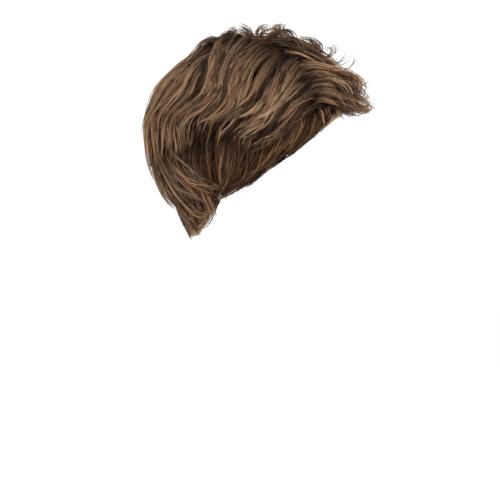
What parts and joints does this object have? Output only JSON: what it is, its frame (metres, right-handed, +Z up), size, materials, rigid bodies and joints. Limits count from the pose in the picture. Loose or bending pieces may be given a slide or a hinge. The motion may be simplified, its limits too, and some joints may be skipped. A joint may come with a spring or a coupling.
{
  "type": "short synthetic wig",
  "caption": "Short layered wig of brown synthetic fibre on a hollow stretch cap, with side locks swept back and a tousled fringe brushed forward.",
  "frame": {"origin": "inside of the cap where it rests on the top of the head", "axes": "+Z up, the wearer faces -Y, the wearer's right side is at -X"},
  "size_m": [0.1907, 0.2687, 0.2598],
  "materials": {
    "net": "dark brown stretch net",
    "tape": "tan woven edge tape",
    "fibre_light": "mid brown synthetic fibre, soft sheen",
    "fibre_dark": "dark brown synthetic fibre, soft sheen"
  },
  "bodies": {
    "root": {"cap": "net", "edge_tape": "tape", "crown_hair": "fibre_light", "fringe": "fibre_light", "back_hair": "fibre_light", "side_hair_right": "fibre_dark", "side_hair_left": "fibre_dark", "nape_hair": "fibre_dark"}
  },
  "joints": []
}
